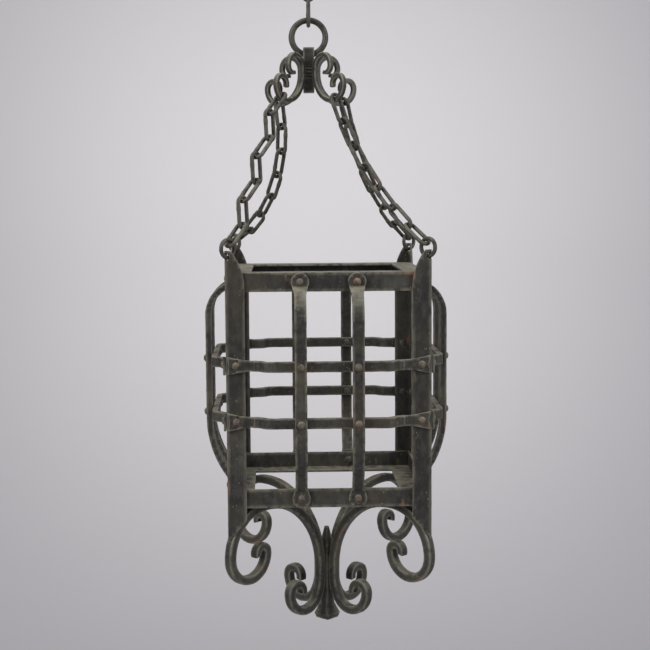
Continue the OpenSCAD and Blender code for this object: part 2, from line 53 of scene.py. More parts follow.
MM = 0.001
CORNERS = ("front_left", "front_right", "back_left", "back_right")
SIDES = ("front", "right", "back", "left")

# sizes of the cage that the scrolls and rivets are set out from
CAGE_X = 20.0
CAGE_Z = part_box("top_rail_front")[1].z / MM
HALF = 132.0
IRON_T = 3.2
BAR_X = 36.5
BAR_BOW = (-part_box("bar_front_left")[0].y) / MM - HALF
LEAF_T = 5.0
LEAF_TOP_Z = -12.5
LEAF_LOW_Z = -292.5
STRAP_Z = (-119.0, -191.5)
LINK_L = (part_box("suspension_link_upper")[1].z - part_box("suspension_link_upper")[0].z) / MM
STRAP_T = 8.0
STRAP_END_T = 4.0
STRAP_RIVET_X = HALF - 13.0
RAIL_OUT = HALF - IRON_T


def placed(side, x, y, z):
    """A rivet's place: x along one side of the cage, y out from its middle, z below the top."""
    return (
        Matrix.Translation((CAGE_X, 0, CAGE_Z))
        @ Matrix.Rotation(radians(90 * side), 4, "Z")
        @ Matrix.Translation((x, y, z))
        @ Matrix.Rotation(radians(90), 4, "X")
    )


RIVETS = {
    "strap_end_rivets": (
        [placed(s, x, -HALF - STRAP_END_T, z) for s in range(4)
         for x in (-STRAP_RIVET_X, STRAP_RIVET_X) for z in STRAP_Z],
        STRAP_END_T + IRON_T,
    ),
    "crossing_rivets": (
        [placed(s, x, -HALF - BAR_BOW, z) for s in range(4)
         for x in (-BAR_X, BAR_X) for z in STRAP_Z],
        9.0 + STRAP_T,
    ),
    "bar_head_rivets": (
        [placed(s, x, -RAIL_OUT - LEAF_T, LEAF_TOP_Z) for s in range(4) for x in (-BAR_X, BAR_X)],
        LEAF_T + IRON_T,
    ),
    "bar_foot_rivets": (
        [placed(s, x, -RAIL_OUT - LEAF_T, LEAF_LOW_Z) for s in range(4) for x in (-BAR_X, BAR_X)],
        LEAF_T + IRON_T,
    ),
}
RUST_SPOTS = [m.translation.copy() for places, _ in RIVETS.values() for m in places]
RUST_SPOTS += [Vector(joints["small_ring_turn_" + c]["pos_m"]) / MM for c in CORNERS]


# shader groups


def socket(group, way, kind, name, value=None):
    item = group.interface.new_socket(name=name, in_out=way, socket_type=kind)
    if value is not None:
        item.default_value = value
    return item


def node(tree, kind, **values):
    made = tree.nodes.new(kind)
    for key, value in values.items():
        setattr(made, key, value)
    return made


def wire(tree, source, target):
    tree.links.new(source, target)


def patches(tree, place, scale, detail, low, high, distortion=0.0, roughness=0.5):
    """A noise mask that runs from 0 below low to 1 above high."""
    grain = node(tree, "ShaderNodeTexNoise")
    grain.inputs["Scale"].default_value = scale
    grain.inputs["Detail"].default_value = detail
    grain.inputs["Roughness"].default_value = roughness
    grain.inputs["Distortion"].default_value = distortion
    wire(tree, place, grain.inputs["Vector"])
    step = node(tree, "ShaderNodeMapRange", interpolation_type="SMOOTHSTEP")
    step.inputs["From Min"].default_value = low
    step.inputs["From Max"].default_value = high
    wire(tree, grain.outputs["Fac"], step.inputs["Value"])
    return step.outputs["Result"]


def maths(tree, operation, a, b=None, clamp=False):
    made = node(tree, "ShaderNodeMath", operation=operation, use_clamp=clamp)
    for value, target in zip((a, b), made.inputs):
        if value is None:
            continue
        if isinstance(value, (int, float)):
            target.default_value = value
        else:
            wire(tree, value, target)
    return made.outputs[0]


def layer(tree, mask, under, over):
    """One colour laid over another where the mask is 1."""
    made = node(tree, "ShaderNodeMix", data_type="RGBA")
    wire(tree, mask, made.inputs["Factor"])
    for value, target in ((under, made.inputs[6]), (over, made.inputs[7])):
        if isinstance(value, tuple):
            target.default_value = value
        else:
            wire(tree, value, target)
    return made.outputs[2]


def forged_group():
    """Blackened iron: mottled scale, worn edges with a painted highlight, settled dust, rust, with a height for
    the bump.
    """
    group = bpy.data.node_groups.new("forged iron surface", "ShaderNodeTree")
    socket(group, "INPUT", "NodeSocketVector", "Place")
    socket(group, "INPUT", "NodeSocketFloat", "Edge", 0.0)
    socket(group, "INPUT", "NodeSocketFloat", "Stain", 0.0)
    socket(group, "INPUT", "NodeSocketColor", "Scale Colour", (0.024, 0.023, 0.021, 1))
    socket(group, "INPUT", "NodeSocketColor", "Olive Colour", (0.055, 0.048, 0.032, 1))
    # pale edge colour, partly real wear and partly a painted highlight
    socket(group, "INPUT", "NodeSocketColor", "Worn Edge And Highlight Colour", (0.19, 0.178, 0.14, 1))
    socket(group, "INPUT", "NodeSocketColor", "Dust Colour", (0.26, 0.24, 0.18, 1))
    socket(group, "INPUT", "NodeSocketColor", "Rust Colour", (0.2, 0.1, 0.048, 1))
    socket(group, "INPUT", "NodeSocketFloat", "Dust Amount", 0.5)
    socket(group, "INPUT", "NodeSocketFloat", "Olive Amount", 0.5)
    socket(group, "INPUT", "NodeSocketFloat", "Rust Amount", 0.3)
    socket(group, "INPUT", "NodeSocketFloat", "Edge Wear And Highlight Amount", 0.6)
    socket(group, "OUTPUT", "NodeSocketColor", "Colour")
    socket(group, "OUTPUT", "NodeSocketFloat", "Roughness")
    socket(group, "OUTPUT", "NodeSocketFloat", "Height")
    start = node(group, "NodeGroupInput")
    end = node(group, "NodeGroupOutput")
    place = start.outputs["Place"]

    mottle = patches(group, place, 34, 5, 0.34, 0.68, 0.3)
    fine = patches(group, place, 170, 4, 0.38, 0.7)
    dark = node(group, "ShaderNodeHueSaturation")
    dark.inputs["Value"].default_value = 0.42
    wire(group, start.outputs["Scale Colour"], dark.inputs["Color"])
    iron = layer(group, maths(group, "MULTIPLY", mottle, 0.75), start.outputs["Scale Colour"],
                 dark.outputs["Color"])
    lift = node(group, "ShaderNodeHueSaturation")
    lift.inputs["Value"].default_value = 2.6
    wire(group, start.outputs["Scale Colour"], lift.inputs["Color"])
    iron = layer(group, maths(group, "MULTIPLY", fine, 0.5), iron, lift.outputs["Color"])

    # olive-brown grime in broad patches
    grime = patches(group, place, 15, 6, 0.42, 0.66, 0.6, 0.6)
    grime = maths(group, "MULTIPLY", grime, start.outputs["Olive Amount"], clamp=True)
    iron = layer(group, grime, iron, start.outputs["Olive Colour"])

    # rubbed edges, broken up by noise: a pale colour that is partly real wear and partly a painted highlight on
    # every sharp edge
    rubbed = patches(group, place, 120, 3, 0.24, 0.6)
    rubbed = maths(group, "MULTIPLY", rubbed, start.outputs["Edge"])
    rubbed = maths(group, "MULTIPLY", rubbed, start.outputs["Edge Wear And Highlight Amount"], clamp=True)
    iron = layer(group, rubbed, iron, start.outputs["Worn Edge And Highlight Colour"])

    # dust that lies on faces turned upward, and a thin film elsewhere
    surface = node(group, "ShaderNodeNewGeometry")
    split = node(group, "ShaderNodeSeparateXYZ")
    wire(group, surface.outputs["Normal"], split.inputs["Vector"])
    upward = node(group, "ShaderNodeMapRange", interpolation_type="SMOOTHSTEP")
    upward.inputs["From Min"].default_value = 0.15
    upward.inputs["From Max"].default_value = 0.95
    wire(group, split.outputs["Z"], upward.inputs["Value"])
    powder = patches(group, place, 60, 6, 0.3, 0.6, 0.2, 0.65)
    film = patches(group, place, 9, 4, 0.45, 0.75)
    settled = maths(group, "MULTIPLY", upward.outputs["Result"], powder)
    settled = maths(group, "MULTIPLY", settled, start.outputs["Dust Amount"])
    film = maths(group, "MULTIPLY", film, maths(group, "MULTIPLY", powder, 0.16))
    settled = maths(group, "ADD", settled, film, clamp=True)
    iron = layer(group, settled, iron, start.outputs["Dust Colour"])

    # pale flecks
    fleck = node(group, "ShaderNodeTexVoronoi")
    fleck.inputs["Scale"].default_value = 210
    fleck.inputs["Randomness"].default_value = 1
    wire(group, place, fleck.inputs["Vector"])
    dot = node(group, "ShaderNodeMapRange", interpolation_type="SMOOTHSTEP")
    dot.inputs["From Min"].default_value = 0.2
    dot.inputs["From Max"].default_value = 0.09
    wire(group, fleck.outputs["Distance"], dot.inputs["Value"])
    rare = patches(group, place, 40, 2, 0.48, 0.62)
    dot = maths(group, "MULTIPLY", dot.outputs["Result"], rare)
    iron = layer(group, maths(group, "MULTIPLY", dot, 0.5), iron, start.outputs["Dust Colour"])

    # bare orange metal along a few edges, rust in spots, and round rivets and holes
    spots = patches(group, place, 62, 5, 0.65, 0.72, 0.4, 0.6)
    spots = maths(group, "MULTIPLY", spots, start.outputs["Rust Amount"])
    near = patches(group, place, 130, 4, 0.5, 0.62, 0.3, 0.65)
    near = maths(group, "MULTIPLY", near, start.outputs["Stain"])
    bare = patches(group, place, 26, 3, 0.62, 0.7, 0.5)
    bare = maths(group, "MULTIPLY", bare, maths(group, "MULTIPLY", rubbed, 1.1, clamp=True))
    rust = maths(group, "MAXIMUM", maths(group, "MAXIMUM", spots, near), bare)
    iron = layer(group, maths(group, "MULTIPLY", rust, 1.0, clamp=True), iron,
                 start.outputs["Rust Colour"])
    wire(group, iron, end.inputs["Colour"])

    rough = maths(group, "MULTIPLY_ADD", mottle, 0.16)
    rough.node.inputs[2].default_value = 0.4
    rough = maths(group, "ADD", rough, maths(group, "MULTIPLY", settled, 0.4))
    rough = maths(group, "ADD", rough, maths(group, "MULTIPLY", rust, 0.3))
    rough = maths(group, "SUBTRACT", rough, maths(group, "MULTIPLY", rubbed, 0.1), clamp=True)
    wire(group, rough, end.inputs["Roughness"])

    blows = node(group, "ShaderNodeTexVoronoi", feature="SMOOTH_F1")
    blows.inputs["Scale"].default_value = 75
    wire(group, place, blows.inputs["Vector"])
    pits = node(group, "ShaderNodeTexNoise")
    pits.inputs["Scale"].default_value = 320
    pits.inputs["Detail"].default_value = 6
    pits.inputs["Roughness"].default_value = 0.65
    wire(group, place, pits.inputs["Vector"])
    height = maths(group, "MULTIPLY", blows.outputs["Distance"], 0.55)
    height = maths(group, "ADD", height, maths(group, "MULTIPLY", pits.outputs["Fac"], 0.5))
    height = maths(group, "ADD", height, maths(group, "MULTIPLY", rust, 0.1))
    wire(group, height, end.inputs["Height"])
    return group


FORGED = forged_group()


def iron_material(name, scale_colour, olive_colour, dust, olive, rust, edge_wear_and_highlight, depth, stretch, shift):
    """Blackened iron for one kind of piece; stretch draws the pattern out along the bar."""
    made = bpy.data.materials.new(name)
    made.use_nodes = True
    tree = made.node_tree
    tree.nodes.clear()
    out = node(tree, "ShaderNodeOutputMaterial")
    skin = node(tree, "ShaderNodeBsdfPrincipled")
    skin.inputs["Metallic"].default_value = 0.0
    skin.inputs["Specular IOR Level"].default_value = 0.36
    where = node(tree, "ShaderNodeTexCoord")
    turn = node(tree, "ShaderNodeMapping")
    turn.inputs["Location"].default_value = shift
    turn.inputs["Scale"].default_value = stretch
    wire(tree, where.outputs["Object"], turn.inputs["Vector"])
    surface = node(tree, "ShaderNodeGroup", node_tree=FORGED)
    wire(tree, turn.outputs["Vector"], surface.inputs["Place"])
    for name_in, layer_name in (("Edge", "edge"), ("Stain", "stain")):
        read = node(tree, "ShaderNodeAttribute", attribute_name=layer_name)
        wire(tree, read.outputs["Fac"], surface.inputs[name_in])
    surface.inputs["Scale Colour"].default_value = scale_colour
    surface.inputs["Olive Colour"].default_value = olive_colour
    surface.inputs["Dust Amount"].default_value = dust
    surface.inputs["Olive Amount"].default_value = olive
    surface.inputs["Rust Amount"].default_value = rust
    surface.inputs["Edge Wear And Highlight Amount"].default_value = edge_wear_and_highlight
    wire(tree, surface.outputs["Colour"], skin.inputs["Base Color"])
    wire(tree, surface.outputs["Roughness"], skin.inputs["Roughness"])
    bump = node(tree, "ShaderNodeBump")
    bump.inputs["Strength"].default_value = 0.55
    bump.inputs["Distance"].default_value = depth
    wire(tree, surface.outputs["Height"], bump.inputs["Height"])
    wire(tree, bump.outputs["Normal"], skin.inputs["Normal"])
    wire(tree, skin.outputs["BSDF"], out.inputs["Surface"])
    return made


# each material's edge wear amount also sets how strong the painted highlight on its sharp edges is
IRON = {
    "angle_iron": iron_material("angle iron, rolled and dusty", (0.021, 0.0195, 0.0175, 1),
                                (0.052, 0.043, 0.029, 1), 0.8, 0.42, 0.45, 0.7, 0.0006,
                                (1, 1, 0.55), (0.3, 0.1, 0)),
    "woven_bars": iron_material("woven bars, hammered", (0.021, 0.0197, 0.018, 1),
                                (0.056, 0.048, 0.032, 1), 0.65, 0.5, 0.6, 0.75, 0.0009,
                                (1, 1, 1), (0, 0.7, 0.2)),
    "scrolls": iron_material("scroll bar, forged", (0.026, 0.0245, 0.022, 1),
                             (0.058, 0.052, 0.033, 1), 0.6, 0.6, 0.6, 0.8, 0.0010,
                             (1, 1, 1), (0.5, 0, 0.9)),
    "links": iron_material("links, rubbed iron wire", (0.009, 0.0086, 0.0078, 1),
                           (0.032, 0.028, 0.018, 1), 0.25, 0.55, 0.35, 0.3, 0.0006,
                           (1, 1, 1), (0.9, 0.4, 0)),
    "rivets": iron_material("rivets, rusting heads", (0.025, 0.0235, 0.021, 1),
                            (0.058, 0.05, 0.033, 1), 0.5, 0.5, 0.4, 0.75, 0.0006,
                            (1, 1, 1), (0.2, 0.2, 0.5)),
}
SLOT_OF = {s["node"]: s["material_slot"] for s in frame["record"]["subparts"]}


# shaping


def hammer(bm, depth, grain, seed):
    """Blows of the hammer: the skin is driven in, by up to depth."""
    bm.normal_update()
    shift = Vector((seed * 7.31, seed * 3.17, seed * 5.53))
    moves = []
    for v in bm.verts:
        broad = noise.noise(v.co / grain + shift)
        small = noise.noise(v.co / (grain * 0.36) + shift * 2)
        moves.append(depth * (0.5 + 0.36 * broad + 0.22 * small))
    for v, m in zip(bm.verts, moves):
        v.co -= v.normal * max(m, 0)


def mark(bm):
    """Stores how sharp the edge is at each point, and how near a rivet or hole lies."""
    bm.normal_update()
    edge = bm.verts.layers.float.new("edge")
    stain = bm.verts.layers.float.new("stain")
    spots = np.array(RUST_SPOTS)
    for v in bm.verts:
        bend = max(
            (e.calc_face_angle_signed(0) for e in v.link_edges if e.is_manifold), default=0
        )
        v[edge] = min(max((bend - 0.12) / 0.35, 0), 1)
        near = np.sqrt(((spots - np.array(v.co)) ** 2).sum(1)).min()
        v[stain] = min(max((9.0 - near) / 5.0, 0), 1) * 0.5


def finish_piece(name, bm, node_name, smooth=50):
    """Turns a bmesh in millimetres into a piece that stands for its node."""
    mark(bm)
    bmesh.ops.scale(bm, vec=(MM, MM, MM), verts=bm.verts)
    mesh = bpy.data.meshes.new(name)
    bm.to_mesh(mesh)
    bm.free()
    for face in mesh.polygons:
        face.use_smooth = True
    mesh.set_sharp_from_angle(angle=radians(smooth))
    obj = bpy.data.objects.new(name, mesh)
    bpy.context.scene.collection.objects.link(obj)
    mesh.materials.append(IRON[SLOT_OF[node_name]])
    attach(obj, body_of[node_name])
    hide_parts(node_name)
    return obj


def from_node(node_name):
    """A merged copy of a CAD node, in millimetres, with its flat faces whole again."""
    bm = bmesh.new()
    bm.from_mesh(nodes[node_name].data)
    bmesh.ops.scale(bm, vec=(1 / MM, 1 / MM, 1 / MM), verts=bm.verts)
    bmesh.ops.remove_doubles(bm, verts=bm.verts, dist=0.002)
    bmesh.ops.dissolve_limit(bm, angle_limit=radians(0.6), verts=bm.verts, edges=bm.edges)
    return bm


def dressed(node_name, name, soft, pitch, depth, grain, seed):
    """A node's shape with its edges eased and its faces hammered."""
    bm = from_node(node_name)
    rims = [e for e in bm.edges if e.is_manifold and e.calc_face_angle(0) > radians(38)]
    bmesh.ops.bevel(bm, geom=rims, offset=soft, offset_type="OFFSET", affect="EDGES",
                    segments=2, profile=0.5, material=-1, clamp_overlap=False)
    low = [min(v.co[k] for v in bm.verts) for k in range(3)]
    high = [max(v.co[k] for v in bm.verts) for k in range(3)]
    for k in range(3):
        normal = [0, 0, 0]
        normal[k] = 1
        count = int((high[k] - low[k]) / pitch)
        for i in range(1, count):
            spot = [0, 0, 0]
            spot[k] = low[k] + (high[k] - low[k]) * i / count
            bmesh.ops.bisect_plane(bm, geom=bm.verts[:] + bm.edges[:] + bm.faces[:],
                                   dist=0.0001, plane_co=spot, plane_no=normal)
    bmesh.ops.triangulate(bm, faces=bm.faces)
    hammer(bm, depth, grain, seed)
    return finish_piece(name, bm, node_name)


def walk(steps, pace):
    """Places along a bent bar, in the XY plane, from the origin along +X. A step is a radius
    and a turn, above 0 to the left, or 0 and a length."""
    at = Matrix.Identity(4)
    places = [at.copy()]
    for radius, turn in steps:
        if radius == 0:
            count = max(1, round(turn / pace))
            for _ in range(count):
                at = at @ Matrix.Translation((turn / count, 0, 0))
                places.append(at.copy())
        else:
            count = max(2, round(abs(radians(turn)) * (radius + 3) / pace))
            side = 1 if turn > 0 else -1
            for _ in range(count):
                at = (at @ Matrix.Translation((0, side * radius, 0))
                      @ Matrix.Rotation(radians(turn / count), 4, "Z")
                      @ Matrix.Translation((0, -side * radius, 0)))
                places.append(at.copy())
    return places


def bar_face(bm, width, points, square):
    """The end of a bar as a face across the X axis: a circle drawn out toward a square."""
    ring = bmesh.ops.create_circle(bm, cap_ends=True, radius=1, segments=points)["verts"]
    bmesh.ops.rotate(bm, verts=ring, matrix=Matrix.Rotation(pi / points, 3, "Z"))
    for v in ring:
        reach = (abs(v.co.x) ** square + abs(v.co.y) ** square) ** (-1 / square)
        v.co *= reach * width / 2
    bmesh.ops.transform(
        bm, verts=ring, matrix=Matrix(((0, 0, 1, 0), (1, 0, 0, 0), (0, 1, 0, 0), (0, 0, 0, 1)))
    )
    return ring


def drawn_out(bm, places, sizes, width, points, square):
    """A bar drawn along its places; a size is its share of the width across and through."""
    ring = bar_face(bm, width, points, square)
    face = ring[0].link_faces[0]

    def pose(i):
        across, through = sizes[i]
        return places[i] @ Matrix.Diagonal((1, across, through, 1))

    bmesh.ops.transform(bm, matrix=pose(0), verts=ring)
    for i in range(1, len(places)):
        grown = bmesh.ops.extrude_face_region(bm, geom=[face])["geom"]
        face = [g for g in grown if isinstance(g, bmesh.types.BMFace)][0]
        bmesh.ops.transform(bm, matrix=pose(i) @ pose(i - 1).inverted(), verts=face.verts[:])
    bmesh.ops.recalc_face_normals(bm, faces=bm.faces)


def radial(turn):
    """Stands the XY plane of a scroll up in the radial plane at one turn round the axis."""
    return Matrix.Rotation(radians(turn), 4, "Z") @ Matrix.Rotation(radians(90), 4, "X")


def ends_closed(places, sizes):
    """Rounds the two cut ends of a bar."""
    first = places[0] @ Matrix.Translation((-0.9, 0, 0))
    last = places[-1] @ Matrix.Translation((0.9, 0, 0))
    a, b = sizes[0], sizes[-1]
    return (
        [first] + places + [last],
        [(a[0] * 0.72, a[1] * 0.72)] + sizes + [(b[0] * 0.72, b[1] * 0.72)],
    )


def two_armed(one, other):
    """One line of places from the far end of the first arm, over the start, to the other's."""
    turned = Matrix.Rotation(pi, 4, "Z")
    back = [p @ turned for p in reversed(one[1:])]
    return back + [one[0] @ turned] + other[1:]


def eased_sizes(places, roll_a, roll_b, swell):
    """A bar that thins into its rolled tips and spreads a little across them."""
    count = len(places)
    sizes = []
    for i in range(count):
        t = min(i / roll_a, 1) if i < count / 2 else min((count - 1 - i) / roll_b, 1)
        ease = t * t * (3 - 2 * t)
        sizes.append((0.8 + 0.2 * ease, 1 + swell * (1 - ease)))
    return sizes


FOOT_ANGLES = {"front_left": 225, "front_right": -45, "back_left": 135, "back_right": 45}
CROWN_ANGLES = {}
for corner in CORNERS:
    x, y, _ = joints["leg_swing_" + corner]["pos_m"]
    CROWN_ANGLES[corner] = atan2(y, x) * 180 / pi


def foot_scroll(corner, seed):
    bar = 12.0
    stem_r = 7.5 + 0.1 + bar / 2
    apex = (stem_r + 103.0, -305.3 - bar / 2)
    out = walk([[0, 4.3], [62, -90], [32, -180], [9, -200]], 3.0)
    inward = walk([[103, 90], [0, 12], [60, 30], [28, 150], [12, 195]], 3.0)
    turned = Matrix.Rotation(pi, 4, "Z")
    inward = [turned @ p for p in inward]
    places = two_armed(out, inward)
    sizes = eased_sizes(places, 16, 18, 0.06)
    places, sizes = ends_closed(places, sizes)
    bm = bmesh.new()
    drawn_out(bm, places, sizes, bar, 28, 7.5)
    stand = (Matrix.Translation((CAGE_X, 0, CAGE_Z)) @ radial(FOOT_ANGLES[corner])
             @ Matrix.Translation((apex[0], apex[1], 0)))
    bmesh.ops.transform(bm, matrix=stand, verts=bm.verts)
    hammer(bm, 0.4, 13, seed)
    return finish_piece("scroll_foot_" + corner, bm, "foot_scroll_" + corner)


def crown_scroll(corner, seed):
    bar = 6.8
    post = 15.0
    hug = post / 2 * (cos(radians(40)) + sin(radians(40))) + bar / 2 + 0.1
    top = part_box("crown_post")[1].z / MM
    down = walk([[38, 90], [21, 90], [11, 195]], 1.8)
    up = walk([[0, 6], [17.5, -90], [15, -90], [9, -110]], 1.8)
    down = [Matrix.Rotation(-pi / 2, 4, "Z") @ p for p in down]
    up = [Matrix.Rotation(pi / 2, 4, "Z") @ p for p in up]
    places = two_armed(down, up)
    sizes = eased_sizes(places, 12, 14, 0.1)
    places, sizes = ends_closed(places, sizes)
    bm = bmesh.new()
    drawn_out(bm, places, sizes, bar, 24, 6.5)
    stand = radial(CROWN_ANGLES[corner]) @ Matrix.Translation((hug, top - 35.4, 0))
    bmesh.ops.transform(bm, matrix=stand, verts=bm.verts)
    hammer(bm, 0.14, 8, seed)
    return finish_piece("scroll_crown_" + corner, bm, "crown_scroll_" + corner)


def closed_wire(bm, places, sizes, width, points):
    """A closed loop of wire through its places; the last meets the first."""
    ring = bar_face(bm, width, points, 2)
    bmesh.ops.delete(bm, geom=ring[0].link_faces[:], context="FACES_ONLY")
    edges = [e for e in bm.edges if all(v in ring for v in e.verts)]
    first = ring[:]

    def pose(i):
        return places[i] @ Matrix.Diagonal((1, sizes[i], sizes[i], 1))

    bmesh.ops.transform(bm, matrix=pose(0), verts=ring)
    made = set(first)
    for i in list(range(1, len(places))) + [0]:
        grown = bmesh.ops.extrude_edge_only(bm, edges=edges)["geom"]
        verts = [g for g in grown if isinstance(g, bmesh.types.BMVert)]
        edges = [g for g in grown if isinstance(g, bmesh.types.BMEdge)]
        bmesh.ops.transform(bm, matrix=pose(i) @ pose(i - 1).inverted(), verts=verts)
        made.update(verts)
    made = [v for v in made if v.is_valid]
    bmesh.ops.remove_doubles(bm, verts=made, dist=0.01)


def link_places(length, width, wire_d):
    radius = (width - wire_d) / 2
    straight = length - width
    half = walk([[0, straight], [radius, 180], [0, straight], [radius, 180]], 1.5)
    return [Matrix.Translation((-straight / 2, -radius, 0)) @ p for p in half[:-1]]


def islands(bm):
    """The loose solids of a mesh, as lists of faces."""
    left = set(bm.faces)
    groups = []
    while left:
        seed = next(iter(left))
        left.discard(seed)
        stack, group = [seed], []
        while stack:
            f = stack.pop()
            group.append(f)
            for e in f.edges:
                for g in e.link_faces:
                    if g in left:
                        left.discard(g)
                        stack.append(g)
        groups.append(group)
    return groups


def lie_of(faces):
    """Middle, long axis and flat axis of a link, from the area of its skin."""
    areas = np.array([f.calc_area() for f in faces])
    mids = np.array([f.calc_center_median() for f in faces])
    middle = (mids * areas[:, None]).sum(0) / areas.sum()
    spread = ((mids - middle) * areas[:, None]).T @ (mids - middle)
    _, axes = np.linalg.eigh(spread)
    points = np.array([v.co for f in faces for v in f.verts])
    frame3 = axes[:, ::-1].T
    along = (points - middle) @ frame3.T
    middle = middle + ((along.max(0) + along.min(0)) / 2) @ frame3
    return Vector(middle), Vector(frame3[0]), Vector(frame3[2])


def link_set(node_name, name, seed):
    """The welded links of one node, each with its weld, rubbed thin at its ends."""
    source = bmesh.new()
    source.from_mesh(nodes[node_name].data)
    bmesh.ops.scale(source, vec=(1 / MM, 1 / MM, 1 / MM), verts=source.verts)
    bmesh.ops.remove_doubles(source, verts=source.verts, dist=0.002)
    lies = sorted((lie_of(g) for g in islands(source)), key=lambda l: (-l[0].z, l[0].x))
    source.free()
    bm = bmesh.new()
    for k, (middle, long_axis, flat_axis) in enumerate(lies):
        if long_axis.z < 0:
            long_axis = -long_axis
        side = flat_axis.cross(long_axis)
        stand = Matrix((
            (long_axis.x, side.x, flat_axis.x, middle.x),
            (long_axis.y, side.y, flat_axis.y, middle.y),
            (long_axis.z, side.z, flat_axis.z, middle.z),
            (0, 0, 0, 1),
        ))
        places = link_places(LINK_L, 20.0, 5.5)
        weld = 5 if (k + seed) % 2 else len(places) // 2 + 5
        sizes = []
        for i in range(len(places)):
            gap = min(abs(i - weld), len(places) - abs(i - weld))
            swell = 0.13 * max(0, 1 - (gap / 2.6) ** 2)
            tip = abs(places[i].translation.x) / 22.0
            sizes.append(0.985 + swell - 0.05 * max(0, tip - 0.6))
        own = bmesh.new()
        closed_wire(own, places, sizes, 5.5, 14)
        bmesh.ops.transform(own, matrix=stand, verts=own.verts)
        bmesh.ops.recalc_face_normals(own, faces=own.faces)
        part = bpy.data.meshes.new("link")
        own.to_mesh(part)
        own.free()
        bm.from_mesh(part)
        bpy.data.meshes.remove(part)
    hammer(bm, 0.14, 6, seed)
    return finish_piece(name, bm, node_name)


def wire_ring(node_name, name, centre, plane, outer, wire_d, seed, flat):
    """A ring of round iron, flattened here and there."""
    radius = (outer - wire_d) / 2
    loop = walk([[radius, 360]], 2.2)
    places = [Matrix.Translation((0, -radius, 0)) @ p for p in loop[:-1]]
    sizes = [0.99 - flat * (0.5 + 0.5 * sin(3 * i * 2 * pi / len(places) + seed))
             for i in range(len(places))]
    bm = bmesh.new()
    closed_wire(bm, places, sizes, wire_d, 18)
    bmesh.ops.transform(bm, matrix=Matrix.Translation(centre) @ plane, verts=bm.verts)
    bmesh.ops.recalc_face_normals(bm, faces=bm.faces)
    hammer(bm, 0.12, 7, seed)
    return finish_piece(name, bm, node_name)


def rivet_set(node_name, seed):
    """Rivets hammered over by hand, each head a little off its shank and uneven."""
    places, grip = RIVETS[node_name]
    bm = bmesh.new()
    profile = [(0.0, 1.6, 2.8), (0.0, 3.1, 2.35), (0.0, 4.2, 1.5), (0.0, 4.9, 0.55),
               (0.0, 5.0, 0.02), (0.0, 2.48, 0.02), (0.0, 2.48, -grip - 0.02),
               (0.0, 4.5, -grip - 0.02), (0.0, 4.3, -grip - 0.7), (0.0, 3.2, -grip - 1.7),
               (0.0, 1.4, -grip - 2.15)]
    for k, place in enumerate(places):
        own = bmesh.new()
        ring = bmesh.ops.create_circle(own, cap_ends=True, radius=profile[0][1],
                                       segments=18)["verts"]
        bmesh.ops.translate(own, vec=(0, 0, profile[0][2]), verts=ring)
        face = ring[0].link_faces[0]
        for (_, r0, z0), (_, r1, z1) in zip(profile, profile[1:]):
            grown = bmesh.ops.extrude_face_region(own, geom=[face])["geom"]
            face = [g for g in grown if isinstance(g, bmesh.types.BMFace)][0]
            verts = face.verts[:]
            bmesh.ops.translate(own, vec=(0, 0, z1 - z0), verts=verts)
            bmesh.ops.scale(own, vec=(r1 / r0, r1 / r0, 1), verts=verts)
        bmesh.ops.recalc_face_normals(own, faces=own.faces)
        for v in own.verts:
            if v.co.z > 0.2:
                turn = atan2(v.co.y, v.co.x)
                dent = noise.noise(Vector((cos(turn), sin(turn), (k + seed) * 3.7)))
                v.co.x *= 1 - 0.1 * max(dent, 0)
                v.co.y *= 1 - 0.1 * max(dent, 0)
                v.co.z -= 0.45 * max(0, noise.noise(v.co / 4 + Vector((k * 2.1, seed, 0))))
        bmesh.ops.transform(own, matrix=place, verts=own.verts)
        part = bpy.data.meshes.new("rivet")
        own.to_mesh(part)
        own.free()
        bm.from_mesh(part)
        bpy.data.meshes.remove(part)
    return finish_piece("heads_" + node_name, bm, node_name, smooth=60)


link_set("suspension_link_upper", "link_upper", 2)
link_set("suspension_link_lower", "link_lower", 5)
ring_low, ring_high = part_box("hanging_ring")
wire_ring("hanging_ring", "ring_hanging", (ring_low + ring_high) / 2 / MM,
          Matrix.Rotation(radians(90), 4, "X"), 54.0, 8.4, 3, 0.03)
dressed("crown_post", "post_crown", 0.7, 3.0, 0.3, 7, 4)
for number, corner in enumerate(CORNERS):
    crown_scroll(corner, 11 + number)
    link_set("chain_" + corner, "links_" + corner, 21 + number)
    turn = joints["small_ring_turn_" + corner]
    axis = Vector(turn["axis"])
    wire_ring("corner_ring_" + corner, "ring_small_" + corner, Vector(turn["pos_m"]) / MM,
              axis.to_track_quat("Z", "Y").to_matrix().to_4x4(), 28.0, 5.5, 31 + number, 0.03)
    dressed("corner_post_" + corner, "angle_post_" + corner, 0.55, 4.5, 0.35, 16, 41 + number)
    foot_scroll(corner, 51 + number)
for number, side in enumerate(SIDES):
    dressed("top_rail_" + side, "angle_top_" + side, 0.5, 4.5, 0.35, 15, 61 + number)
    dressed("bottom_rail_" + side, "angle_low_" + side, 0.5, 4.5, 0.35, 15, 71 + number)
    for height in ("upper", "lower"):
        name = "strap_%s_%s" % (side, height)
        dressed(name, "woven_" + name, 0.9, 3.6, 0.6, 12, 81 + number)
for number, name in enumerate(sorted(n for n in nodes if n.startswith("bar_") and "rivets" not in n)):
    dressed(name, "woven_" + name, 1.1, 3.6, 0.7, 12, 91 + number)
dressed("finial", "finial_forged", 0.9, 3.5, 0.5, 9, 101)
for number, name in enumerate(RIVETS):
    rivet_set(name, number)


# floor, backdrop, light and camera


def plain(name, colour):
    made = bpy.data.materials.new(name)
    made.use_nodes = True
    skin = made.node_tree.nodes["Principled BSDF"]
    skin.inputs["Base Color"].default_value = colour
    skin.inputs["Roughness"].default_value = 0.9
    skin.inputs["Specular IOR Level"].default_value = 0.1
    return made


